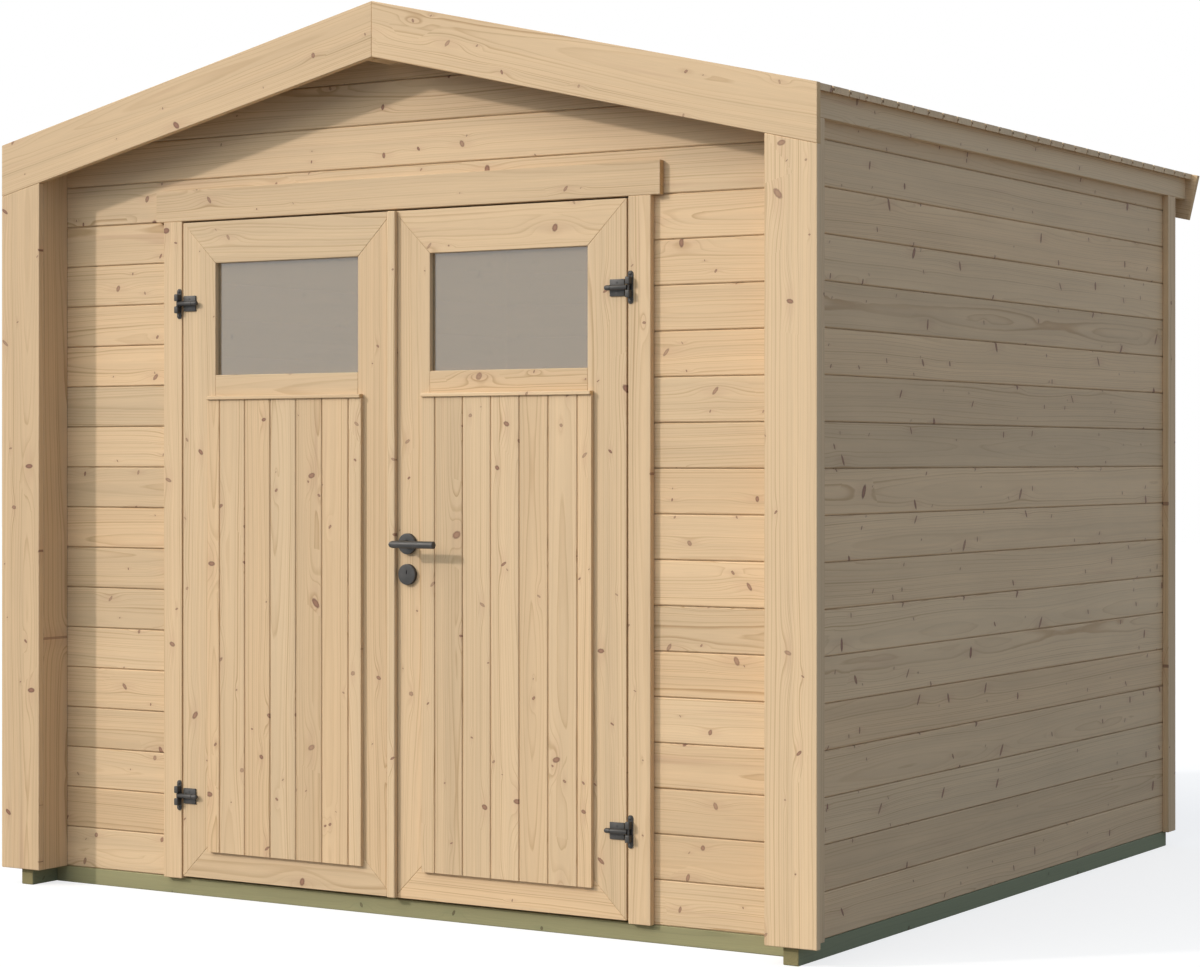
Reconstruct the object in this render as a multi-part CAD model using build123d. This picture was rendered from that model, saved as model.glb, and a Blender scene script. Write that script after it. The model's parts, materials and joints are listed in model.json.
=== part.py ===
from build123d import *
import os
from math import cos, dist, radians, sin, tan

os.makedirs("parts", exist_ok=True)

# Garden shed of spruce boards: gabled roof, shallow porch and a double door.
# Millimetres. X to the right seen from the front, the front faces -Y, Z up from the ground.
# The origin is under the middle of the whole shed, on the ground.

# House
base_width = 2450
porch_depth = 97
room_depth = 2342
wall_height = 2020
wall_thickness = 19
trim_thickness = 19
cut_overrun = 10
same_point_distance = 0.01

# Timbers under the house
bearer_width = 42
bearer_height = 45
bearer_rear_setback = 12
joist_count = 3
floor_thickness = 16
floor_clearance = 4

# Roof
roof_pitch = 13.02
roof_board_thickness = 16
eave_overhang = 58
roof_edge_setback = 20
rear_overhang = 108
barge_width = 140
eave_board_height = 64.5
ridge_purlin_width = 60
ridge_purlin_depth = 132

# Corner boards
post_cover_width = 140
rear_trim_width = 62

# Doorway
doorway_width = 1422
doorway_drop = 228
jamb_trim_width = 64
head_trim_width = 85
head_trim_overhang = 27
door_post_size = 58

# Door leaves
leaf_gap = 5
leaf_sill_gap = 7
leaf_thickness = 40
frame_width = 113
meeting_stile_reach = 115
window_height = 303
window_sill_width = 57
glass_depth = 13
glass_thickness = 4
meeting_strip_width = 26
meeting_strip_thickness = 13
meeting_gap = 8
panel_thickness = 12
panel_side_lap = 18
panel_bottom_lap = 38
ledge_height = 10
ledge_overhang = 6

# Hinges
hinge_end_offset = 220
hinge_pin_radius = 3
hinge_pin_clearance = 0.3
hinge_block_width = 13
hinge_block_height = 52
hinge_block_front = 8
hinge_block_rounding = 3
hinge_block_setback = 0.5
hinge_slot_clearance = 0.5
jamb_plate_width = 15
jamb_plate_height = 82
jamb_plate_thickness = 3
leaf_plate_width = 42
leaf_plate_height = 42
leaf_plate_setback = 4
hinge_arm_radius = 6.5
hinge_arm_reach = 8
hinge_arm_sink = 0.5
hinge_knuckle_radius = 6
hinge_knuckle_height = 12

# Lever handle and lock
lever_backset = 61
lever_height = 918
lever_length = 126
lever_radius = 9.5
lever_standoff = 66
lever_chamfer = 1.5
lever_bearing_clearance = 0.3
spindle_size = 8
spindle_hole_radius = 8
rose_radius = 27
rose_thickness = 10
rose_chamfer = 1.5
key_rose_drop = 79
keyhole_width = 2.5
keyhole_height = 10
keyhole_depth = 4

# Places that follow from the sizes
total_depth = trim_thickness + porch_depth + room_depth + rear_overhang + trim_thickness
y_front = -total_depth / 2
y_post_front = y_front + trim_thickness
y_wall_front = y_post_front + porch_depth
y_room_front = y_wall_front + wall_thickness
y_wall_rear = y_wall_front + room_depth
y_room_rear = y_wall_rear - wall_thickness
y_trim_rear = y_wall_rear + trim_thickness
y_roof_rear = y_wall_rear + rear_overhang
y_rear = y_roof_rear + trim_thickness
y_leaf_front = y_wall_front - trim_thickness
y_leaf_back = y_leaf_front + leaf_thickness
y_hinge = y_leaf_front - jamb_plate_thickness - hinge_slot_clearance - hinge_arm_radius

x_wall = base_width / 2
x_room = x_wall - wall_thickness
x_trim = x_wall + trim_thickness
x_eave = x_wall + eave_overhang
x_roof = x_eave - roof_edge_setback
x_post = x_eave - post_cover_width
x_doorway = doorway_width / 2
x_leaf = x_doorway - leaf_gap
x_strip = meeting_strip_width / 2
x_hinge = x_doorway + hinge_block_setback + hinge_block_width / 2

z_floor = bearer_height + floor_thickness
z_wall_top = bearer_height + wall_height
z_doorway = z_wall_top - doorway_drop
z_leaf = bearer_height + leaf_sill_gap
z_leaf_top = z_doorway - leaf_gap
z_window_top = z_leaf_top - frame_width
z_window = z_window_top - window_height
z_ledge_top = z_window - window_sill_width
z_panel_top = z_ledge_top - ledge_height
z_panel = z_leaf + frame_width - panel_bottom_lap
z_lever = z_leaf + lever_height

slope = tan(radians(roof_pitch))
roof_drop = roof_board_thickness / cos(radians(roof_pitch))
barge_drop = barge_width / cos(radians(roof_pitch))
ridge_height = z_wall_top + roof_drop + slope * x_wall


def roof_top(x):
    return ridge_height - slope * abs(x)


def roof_under(x):
    return roof_top(x) - roof_drop


z_eave_board = roof_under(x_trim) - eave_board_height
z_ridge_purlin = roof_under(0) - ridge_purlin_depth


def slab(x_range, y_range, z_range):
    # A straight timber between three pairs of planes, given in any order.
    low = [min(pair) for pair in (x_range, y_range, z_range)]
    high = [max(pair) for pair in (x_range, y_range, z_range)]
    size = [top - bottom for bottom, top in zip(low, high)]
    return Pos(*low) * Box(*size, align=(Align.MIN, Align.MIN, Align.MIN))


def prism(outline, y_low, y_high):
    # An outline of (x, z) points, carried from one Y plane to another.
    wire = Polyline(*[(x, y_low, z) for x, z in outline], close=True)
    return extrude(make_face(wire), amount=y_high - y_low, dir=(0, 1, 0))


def rod(start, direction, radius, length):
    return Plane(origin=start, z_dir=direction) * Cylinder(
        radius, length, align=(Align.CENTER, Align.CENTER, Align.MIN))


def mirrored(shape):
    return mirror(shape, about=Plane.YZ)


def both_sides(shape):
    return Compound(children=[shape, mirrored(shape)])


def save(name, shape):
    export_step(shape, f"parts/{name}.step")


def save_pair(name, right_shape):
    # The left one is the right one's mirror image.
    save(f"left_{name}", mirrored(right_shape))
    save(f"right_{name}", right_shape)


# Timbers under the house
y_bearer_rear = y_wall_rear - bearer_rear_setback
x_bearer = x_wall - bearer_width
bearer_z = (0, bearer_height)
save_pair("bearer", slab((x_bearer, x_wall), (y_post_front, y_bearer_rear), bearer_z))
front_bearer_y = (y_wall_front, y_wall_front + bearer_width)
rear_bearer_y = (y_bearer_rear - bearer_width, y_bearer_rear)
save("front_bearer", slab((-x_bearer, x_bearer), front_bearer_y, bearer_z))
save("rear_bearer", slab((-x_bearer, x_bearer), rear_bearer_y, bearer_z))
joist_pitch = 2 * x_bearer / (joist_count + 1)
joists = []
for number in range(joist_count):
    x_joist = -x_bearer + joist_pitch * (number + 1)
    joist_x = (x_joist - bearer_width / 2, x_joist + bearer_width / 2)
    joists.append(slab(joist_x, (front_bearer_y[1], rear_bearer_y[0]), bearer_z))
save("floor_joists", Compound(children=joists))
x_floor = x_room - floor_clearance
y_floor = y_leaf_back + leaf_sill_gap
save("floor", slab((-x_floor, x_floor), (y_floor, y_room_rear - floor_clearance), (bearer_height, z_floor)))

# Walls, with their tops cut to the slope of the roof
side_wall = [
    (x_room, bearer_height),
    (x_wall, bearer_height),
    (x_wall, roof_under(x_wall)),
    (x_room, roof_under(x_room)),
]
save_pair("wall", prism(side_wall, y_post_front, y_wall_rear))
ridge_notch = [
    (ridge_purlin_width / 2, roof_under(ridge_purlin_width / 2)),
    (ridge_purlin_width / 2, z_ridge_purlin),
    (-ridge_purlin_width / 2, z_ridge_purlin),
    (-ridge_purlin_width / 2, roof_under(ridge_purlin_width / 2)),
]
gable_top = [(x_room, roof_under(x_room)), *ridge_notch, (-x_room, roof_under(x_room))]
rear_wall = [(-x_room, bearer_height), (x_room, bearer_height), *gable_top]
save("rear_wall", prism(rear_wall, y_room_rear, y_wall_rear))
front_gable = [(-x_room, z_doorway), (x_room, z_doorway), *gable_top]
save("front_gable", prism(front_gable, y_wall_front, y_room_front))
save_pair("front_wall", slab((x_doorway, x_room), (y_wall_front, y_room_front), (bearer_height, z_doorway)))

# Corner posts of the porch and the boards that cover the corners
corner_post = [
    (x_post, bearer_height),
    (x_room, bearer_height),
    (x_room, roof_under(x_room)),
    (x_post, roof_under(x_post)),
]
save_pair("corner_post", prism(corner_post, y_post_front, y_wall_front))
post_cover = [
    (x_post, bearer_height),
    (x_eave, bearer_height),
    (x_eave, roof_top(x_eave) - barge_drop),
    (x_post, roof_top(x_post) - barge_drop),
]
save_pair("post_cover", prism(post_cover, y_front, y_post_front))
side_trim_z = (bearer_height, z_eave_board)
front_side_trim = slab((x_wall, x_trim), (y_post_front, y_wall_front), side_trim_z)
rear_side_trim = slab((x_wall, x_trim), (y_trim_rear - rear_trim_width, y_trim_rear), side_trim_z)
save("front_side_trims", both_sides(front_side_trim))
save("rear_side_trims", both_sides(rear_side_trim))
x_back_trim = x_wall - rear_trim_width
back_trim = [
    (x_back_trim, bearer_height),
    (x_wall, bearer_height),
    (x_wall, roof_under(x_wall)),
    (x_back_trim, roof_under(x_back_trim)),
]
save("back_trims", both_sides(prism(back_trim, y_wall_rear, y_trim_rear)))

# Roof
roof_deck = [
    (0, roof_under(0)),
    (x_roof, roof_under(x_roof)),
    (x_roof, roof_top(x_roof)),
    (0, roof_top(0)),
]
save_pair("roof_deck", prism(roof_deck, y_post_front, y_roof_rear))
eave_board = [
    (x_wall, z_eave_board),
    (x_trim, z_eave_board),
    (x_trim, roof_under(x_trim)),
    (x_wall, roof_under(x_wall)),
]
save_pair("eave_board", prism(eave_board, y_post_front, y_roof_rear))
save("ridge_purlin", prism([*ridge_notch, (0, roof_under(0))], y_post_front, y_roof_rear))
front_barge = [
    (0, roof_top(0) - barge_drop),
    (x_eave, roof_top(x_eave) - barge_drop),
    (x_eave, roof_top(x_eave)),
    (0, roof_top(0)),
]
save_pair("front_barge", prism(front_barge, y_front, y_post_front))
x_barge_bottom = x_eave - barge_width * sin(radians(roof_pitch))
rear_barge = [
    (0, roof_top(0) - barge_drop),
    (x_barge_bottom, roof_top(x_barge_bottom) - barge_drop),
    (x_eave, roof_top(x_eave)),
    (0, roof_top(0)),
]
save_pair("rear_barge", prism(rear_barge, y_roof_rear, y_rear))

# Doorway: posts and a lintel inside, trims outside
door_post_x = (x_doorway, x_doorway + door_post_size)
door_post_y = (y_room_front, y_room_front + door_post_size)
door_post = slab(door_post_x, door_post_y, (z_floor, z_doorway))
save("door_posts", both_sides(door_post))
lintel_z = (z_doorway, z_doorway + door_post_size)
save("door_lintel", slab((-door_post_x[1], door_post_x[1]), door_post_y, lintel_z))
jamb_trim_x = (x_doorway, x_doorway + jamb_trim_width)
jamb_trim = slab(jamb_trim_x, (y_leaf_front, y_wall_front), (bearer_height, z_doorway))
save("jamb_trims", both_sides(jamb_trim))
x_head = x_doorway + jamb_trim_width + head_trim_overhang
head_trim_z = (z_doorway, z_doorway + head_trim_width)
save("head_trim", slab((-x_head, x_head), (y_leaf_front, y_wall_front), head_trim_z))


# A leaf is drawn as the right one, from its meeting edge to its hinge edge.
x_hinge_stile = x_leaf - frame_width
x_meeting_stile = meeting_stile_reach
z_bottom_rail = z_leaf + frame_width


def mitre(x_inner, x_outer, z_inner, z_outer):
    # Where a mitre of 45 degrees from an inner corner leaves the leaf, and the corner it then passes.
    reach = min(abs(x_outer - x_inner), abs(z_outer - z_inner))
    x_end = x_inner + (reach if x_outer > x_inner else -reach)
    z_end = z_inner + (reach if z_outer > z_inner else -reach)
    return (x_end, z_end)


def without_repeats(points):
    return [point for number, point in enumerate(points)
            if dist(point, points[number - 1]) > same_point_distance]


def stile(x_inner, x_outer):
    top = mitre(x_inner, x_outer, z_window_top, z_leaf_top)
    bottom = mitre(x_inner, x_outer, z_bottom_rail, z_leaf)
    outer_edge = [bottom, (x_outer, bottom[1]), (x_outer, top[1]), top]
    outline = [(x_inner, z_bottom_rail), *outer_edge, (x_inner, z_window_top)]
    return prism(without_repeats(outline), y_leaf_front, y_leaf_back)


def rail(x_meeting, z_inner, z_outer):
    hinge_end = mitre(x_hinge_stile, x_leaf, z_inner, z_outer)
    meeting_end = mitre(x_meeting_stile, x_meeting, z_inner, z_outer)
    outline = [(x_meeting_stile, z_inner), (x_hinge_stile, z_inner), hinge_end]
    outline += [(hinge_end[0], z_outer), (meeting_end[0], z_outer), meeting_end]
    return prism(without_repeats(outline), y_leaf_front, y_leaf_back)


def leaf_pieces(x_meeting):
    leaf_y = (y_leaf_front, y_leaf_back)
    inner_x = (x_meeting_stile, x_hinge_stile)
    panel_x = (x_meeting_stile - panel_side_lap, x_hinge_stile + panel_side_lap)
    panel_y = (y_leaf_front - panel_thickness, y_leaf_front)
    ledge_y = (y_leaf_front - panel_thickness - ledge_overhang, y_leaf_front)
    glass_y = (y_leaf_front + glass_depth, y_leaf_front + glass_depth + glass_thickness)
    mid_rail = slab(inner_x, leaf_y, (z_window - frame_width, z_window))
    rails = [rail(x_meeting, z_window_top, z_leaf_top), mid_rail, rail(x_meeting, z_bottom_rail, z_leaf)]
    stiles = [stile(x_meeting_stile, x_meeting), stile(x_hinge_stile, x_leaf)]
    panel = slab(panel_x, panel_y, (z_panel, z_panel_top))
    ledge = slab(panel_x, ledge_y, (z_panel_top, z_ledge_top))
    glass = slab(inner_x, glass_y, (z_window, z_window_top))
    return {"stiles": stiles, "rails": rails, "panel": panel, "ledge": ledge, "glass": glass}


# Hinges, drawn on the right: a block with a pin on the jamb, an arm and a plate on the leaf
slot_half = hinge_arm_radius + hinge_slot_clearance
z_hinges = (z_leaf + hinge_end_offset, z_leaf_top - hinge_end_offset)


def jamb_hinge(z_centre):
    block_x = (x_hinge - hinge_block_width / 2, x_hinge + hinge_block_width / 2)
    block_y = (y_hinge - hinge_block_front, y_leaf_front)
    block = slab(block_x, block_y, (z_centre - hinge_block_height / 2, z_centre + hinge_block_height / 2))
    front_edges = block.edges().filter_by(Axis.Z).group_by(Axis.Y)[0]
    block = fillet(front_edges, hinge_block_rounding)
    slot_z = (z_centre - slot_half, z_centre + slot_half)
    block_back = y_leaf_front - jamb_plate_thickness
    slot_x = (block_x[0] - cut_overrun, block_x[1] + cut_overrun)
    block -= slab(slot_x, (block_y[0] - cut_overrun, block_back), slot_z)
    x_plate = x_doorway + jamb_plate_width / 2
    plate_plane = Plane(origin=(x_plate, y_leaf_front, z_centre), x_dir=(0, 0, 1), z_dir=(0, -1, 0))
    plate_face = plate_plane * SlotOverall(jamb_plate_height, jamb_plate_width)
    plate = extrude(plate_face, amount=jamb_plate_thickness)
    pin_start = (x_hinge, y_hinge, z_centre - hinge_block_height / 2)
    pin = rod(pin_start, (0, 0, 1), hinge_pin_radius, hinge_block_height)
    return block + plate + pin


def leaf_hinge(z_centre):
    x_plate = x_leaf - leaf_plate_setback
    plate_x = (x_plate - leaf_plate_width, x_plate)
    plate_z = (z_centre - leaf_plate_height / 2, z_centre + leaf_plate_height / 2)
    plate = slab(plate_x, (y_hinge + hinge_arm_radius - hinge_arm_sink, y_leaf_front), plate_z)
    arm_length = x_hinge - plate_x[0] + hinge_arm_reach
    arm = rod((x_hinge, y_hinge, z_centre), (-1, 0, 0), hinge_arm_radius, arm_length)
    knuckle_start = (x_hinge, y_hinge, z_centre - hinge_knuckle_height / 2)
    knuckle = rod(knuckle_start, (0, 0, 1), hinge_knuckle_radius, hinge_knuckle_height)
    hole_radius = hinge_pin_radius + hinge_pin_clearance
    hole_half = hinge_arm_radius + cut_overrun
    hole = rod((x_hinge, y_hinge, z_centre - hole_half), (0, 0, 1), hole_radius, 2 * hole_half)
    return plate + arm + knuckle - hole


jamb_hinges = [jamb_hinge(z) for z in z_hinges]
save("jamb_hinges", Compound(children=jamb_hinges + [mirrored(hinge) for hinge in jamb_hinges]))
leaf_hinges = [leaf_hinge(z) for z in z_hinges]
save("left_leaf_hinges", Compound(children=[mirrored(hinge) for hinge in leaf_hinges]))
save("right_leaf_hinges", Compound(children=leaf_hinges))

# Lever on its spindle, through the meeting stile of the right leaf
x_lever = -x_strip + lever_backset
y_neck_out = y_leaf_front - lever_bearing_clearance
y_neck_in = y_leaf_back + lever_bearing_clearance


def lever_side(y_neck, outward):
    y_arm = y_neck + outward[1] * lever_standoff
    foot, elbow = (x_lever, y_neck, z_lever), (x_lever, y_arm, z_lever)
    path = Polyline(foot, elbow, (x_lever + lever_length, y_arm, z_lever))
    section = Plane(foot, z_dir=outward) * Circle(lever_radius)
    grip = sweep(section, path=path, transition=Transition.RIGHT)
    return chamfer(grip.edges().sort_by(Axis.X)[-1], lever_chamfer)


spindle_x = (x_lever - spindle_size / 2, x_lever + spindle_size / 2)
spindle_z = (z_lever - spindle_size / 2, z_lever + spindle_size / 2)
spindle = slab(spindle_x, (y_neck_out, y_neck_in), spindle_z)
save("lever", lever_side(y_neck_out, (0, -1, 0)) + lever_side(y_neck_in, (0, 1, 0)) + spindle)


def rose(y_face, outward, z_centre):
    disc = rod((x_lever, y_face, z_centre), outward, rose_radius, rose_thickness)
    rim = disc.edges().filter_by(GeomType.CIRCLE).sort_by(Axis.Y)[0 if outward[1] < 0 else -1]
    return chamfer(rim, rose_chamfer)


def lever_rose(y_face, outward):
    bore = rod((x_lever, y_face, z_lever), outward, lever_radius + lever_bearing_clearance, rose_thickness)
    return rose(y_face, outward, z_lever) - bore


def key_rose(y_face, outward):
    y_front_face = y_face + outward[1] * rose_thickness
    slit_x = (x_lever - keyhole_width / 2, x_lever + keyhole_width / 2)
    slit_y = (y_front_face - outward[1] * keyhole_depth, y_front_face + outward[1] * cut_overrun)
    slit_z = (z_lever - key_rose_drop - keyhole_height / 2, z_lever - key_rose_drop + keyhole_height / 2)
    return rose(y_face, outward, z_lever - key_rose_drop) - slab(slit_x, slit_y, slit_z)


outside = (y_leaf_front, (0, -1, 0))
inside = (y_leaf_back, (0, 1, 0))
roses = [lever_rose(*outside), key_rose(*outside), lever_rose(*inside), key_rose(*inside)]
save("lock_roses", Compound(children=roses))

# The right leaf carries the meeting strip, so the left leaf stops short of it.
right_leaf = leaf_pieces(-x_strip)
spindle_hole = rod((x_lever, y_leaf_front, z_lever), (0, 1, 0), spindle_hole_radius, leaf_thickness)
right_leaf["stiles"][0] -= spindle_hole
left_leaf = leaf_pieces(x_strip + meeting_gap)
for piece, shape in right_leaf.items():
    save(f"right_leaf_{piece}", Compound(children=shape) if isinstance(shape, list) else shape)
for piece, shape in left_leaf.items():
    solids = shape if isinstance(shape, list) else [shape]
    save(f"left_leaf_{piece}", Compound(children=[mirrored(solid) for solid in solids]))
strip_y = (y_leaf_front - meeting_strip_thickness, y_leaf_front)
save("meeting_strip", slab((-x_strip, x_strip), strip_y, (z_leaf, z_leaf_top)))
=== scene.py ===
import json
import math
import random

import bmesh
import bpy
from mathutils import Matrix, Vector


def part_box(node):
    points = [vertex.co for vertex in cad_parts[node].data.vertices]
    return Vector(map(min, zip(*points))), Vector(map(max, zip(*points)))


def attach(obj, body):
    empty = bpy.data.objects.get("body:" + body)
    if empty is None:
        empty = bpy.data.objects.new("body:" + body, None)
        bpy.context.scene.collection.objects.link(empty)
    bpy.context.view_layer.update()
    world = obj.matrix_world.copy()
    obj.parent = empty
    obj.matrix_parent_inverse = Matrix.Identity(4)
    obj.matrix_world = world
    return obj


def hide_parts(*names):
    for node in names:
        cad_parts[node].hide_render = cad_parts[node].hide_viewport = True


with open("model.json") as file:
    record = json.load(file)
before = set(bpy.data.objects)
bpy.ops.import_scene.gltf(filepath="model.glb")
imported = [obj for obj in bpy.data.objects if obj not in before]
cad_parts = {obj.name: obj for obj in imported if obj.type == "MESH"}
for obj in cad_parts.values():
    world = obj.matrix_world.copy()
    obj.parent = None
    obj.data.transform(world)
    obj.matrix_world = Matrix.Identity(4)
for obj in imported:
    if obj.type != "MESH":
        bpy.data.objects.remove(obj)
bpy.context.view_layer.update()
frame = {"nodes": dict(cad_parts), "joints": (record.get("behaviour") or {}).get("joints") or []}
nodes = frame["nodes"]
xDir, yDir, zDir = Vector((1, 0, 0)), Vector((0, 1, 0)), Vector((0, 0, 1))


# Small helpers for node trees

def addNode(tree, kind, **settings):
    node = tree.nodes.new(kind)
    for name, value in settings.items():
        setattr(node, name, value)
    return node


def feed(tree, value, socket):
    if isinstance(value, bpy.types.NodeSocket):
        tree.links.new(value, socket)
    else:
        socket.default_value = value


def calc(tree, operation, *values):
    node = addNode(tree, "ShaderNodeMath", operation=operation)
    for value, socket in zip(values, node.inputs):
        feed(tree, value, socket)
    return node.outputs[0]


def vectorCalc(tree, operation, *values):
    node = addNode(tree, "ShaderNodeVectorMath", operation=operation)
    for value, socket in zip(values, node.inputs):
        feed(tree, value, socket)
    return node.outputs["Value" if operation in ("LENGTH", "DOT_PRODUCT") else "Vector"]


def fade(tree, value, start, end, low=0.0, high=1.0):
    node = addNode(tree, "ShaderNodeMapRange", interpolation_type="SMOOTHSTEP")
    for socket, number in zip(node.inputs, (value, start, end, low, high)):
        feed(tree, number, socket)
    return node.outputs[0]


def mixColour(tree, factor, first, second, mode="MIX"):
    node = addNode(tree, "ShaderNodeMix", data_type="RGBA", blend_type=mode)
    for socket, value in ((node.inputs[0], factor), (node.inputs[6], first), (node.inputs[7], second)):
        feed(tree, (*value, 1.0) if isinstance(value, tuple) else value, socket)
    return node.outputs[2]


def noise(tree, point, stretch, detail=2.0, roughness=0.5):
    # centred on zero, stretched along the grain
    node = addNode(tree, "ShaderNodeTexNoise")
    feed(tree, vectorCalc(tree, "MULTIPLY", point, stretch), node.inputs["Vector"])
    node.inputs["Scale"].default_value = 1.0
    node.inputs["Detail"].default_value = detail
    node.inputs["Roughness"].default_value = roughness
    return calc(tree, "SUBTRACT", node.outputs["Fac"], 0.5)


# Timber finishes: every board carries "grain" (metres along, across and into the log) and "tone" (its own tint)

spruceLook = {
    "pale": (0.687, 0.515, 0.325),
    "late": (0.455, 0.296, 0.152),
    "knotHeart": (0.300, 0.155, 0.100),
    "knotRim": (0.128, 0.054, 0.038),
    "streak": (0.520, 0.330, 0.215),
    "endGrain": (0.92, 0.84, 0.70),
    "ringSpacing": 0.0054,
    "ringContrast": 1.0,
    "bandContrast": 0.31,
    "fibreContrast": 0.19,
    "boardSpread": 0.08,
    "ownTint": (1.02, 0.975, 0.93),
    "knots": (((0.24, 0.115), 0.58, 0.0040, 0.0105), ((0.17, 0.066), 0.34, 0.0018, 0.0042)),
    "roughness": 0.62,
}
treatedLook = {
    "pale": (0.314, 0.294, 0.156),
    "late": (0.209, 0.201, 0.102),
    "knotHeart": (0.120, 0.095, 0.050),
    "knotRim": (0.070, 0.055, 0.030),
    "streak": (0.210, 0.230, 0.125),
    "endGrain": (1.16, 0.91, 0.69),
    "ringSpacing": 0.0048,
    "ringContrast": 0.55,
    "bandContrast": 0.20,
    "fibreContrast": 0.26,
    "boardSpread": 0.06,
    "ownTint": (0.69, 0.82, 0.96),
    "knots": (((0.30, 0.05), 0.5, 0.003, 0.008),),
    "roughness": 0.74,
}


knotShape = {  # a base value, and what a chance number or the way of sawing adds to it
    "lean": (-0.7, 1.4), "narrow": (0.85, 0.75), "spikeAlong": (1.0, 0.12), "spikeAcross": (0.9, -0.34),
    "dark": (0.52, 0.5), "spikeDark": 0.4, "ragged": 0.0035, "sizePower": 1.6, "drawnOut": 0.30,
}


def vary(tree, value, limits):
    return calc(tree, "MULTIPLY_ADD", value, limits[1], limits[0])


def branches(tree, grain, sawn, cell, share, small, large):
    # a knot in some of the cells of a stretched Voronoi pattern: its own ratio of distance to radius, the same
    # drawn out along the grain, its radius, whether it is there, and how dark it is; round in a flat sawn board,
    # a narrow dark spike across a quarter sawn one
    scaled = vectorCalc(tree, "MULTIPLY", grain, (1 / cell[0], 1 / cell[1], 0.0))
    spot = addNode(tree, "ShaderNodeTexVoronoi", voronoi_dimensions="2D", feature="F1")
    feed(tree, scaled, spot.inputs["Vector"])
    spot.inputs["Scale"].default_value = 1.0
    pick = addNode(tree, "ShaderNodeSeparateColor")
    feed(tree, spot.outputs["Color"], pick.inputs[0])
    offset = vectorCalc(tree, "SUBTRACT", scaled, spot.outputs["Position"])
    offset = vectorCalc(tree, "MULTIPLY", offset, (cell[0], cell[1], 0.0))
    lean = vary(tree, pick.outputs[2], knotShape["lean"])
    narrow = vary(tree, calc(tree, "FRACT", calc(tree, "MULTIPLY", pick.outputs[1], 5.3)), knotShape["narrow"])
    parts = addNode(tree, "ShaderNodeSeparateXYZ")
    feed(tree, offset, parts.inputs[0])
    skewed = addNode(tree, "ShaderNodeCombineXYZ")
    along = calc(tree, "MULTIPLY", calc(tree, "MULTIPLY_ADD", parts.outputs[1], lean, parts.outputs[0]), narrow)
    feed(tree, calc(tree, "MULTIPLY", along, vary(tree, sawn, knotShape["spikeAlong"])), skewed.inputs[0])
    across = calc(tree, "MULTIPLY", parts.outputs[1], vary(tree, sawn, knotShape["spikeAcross"]))
    feed(tree, across, skewed.inputs[1])
    ragged = calc(tree, "MULTIPLY", noise(tree, grain, (330.0, 330.0, 0.0)), knotShape["ragged"])
    away = calc(tree, "ADD", vectorCalc(tree, "LENGTH", skewed.outputs[0]), ragged)
    drawnOut = vectorCalc(tree, "MULTIPLY", offset, (knotShape["drawnOut"], 1.0, 0.0))
    chosen = calc(tree, "LESS_THAN", pick.outputs[0], share)
    size = calc(tree, "POWER", pick.outputs[1], knotShape["sizePower"])
    radius = calc(tree, "MULTIPLY_ADD", size, large - small, small)
    ratio = calc(tree, "DIVIDE", away, radius)
    wide = calc(tree, "DIVIDE", vectorCalc(tree, "LENGTH", drawnOut), radius)
    dark = vary(tree, calc(tree, "FRACT", calc(tree, "MULTIPLY", pick.outputs[2], 7.3)), knotShape["dark"])
    dark = calc(tree, "MULTIPLY_ADD", sawn, knotShape["spikeDark"], dark)
    return ratio, wide, calc(tree, "MULTIPLY", radius, chosen), chosen, dark


growth = {"sway": 0.036, "waver": 0.0022, "bulge": -0.16, "swell": (2.0, -1.5), "unevenYears": 2.2,
          "streaks": (0.16, 0.27, 0.0, 0.38), "halo": 0.22, "mottle": (0.07, 0.14), "knotCover": 0.9, "rim": 0.6}


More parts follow.
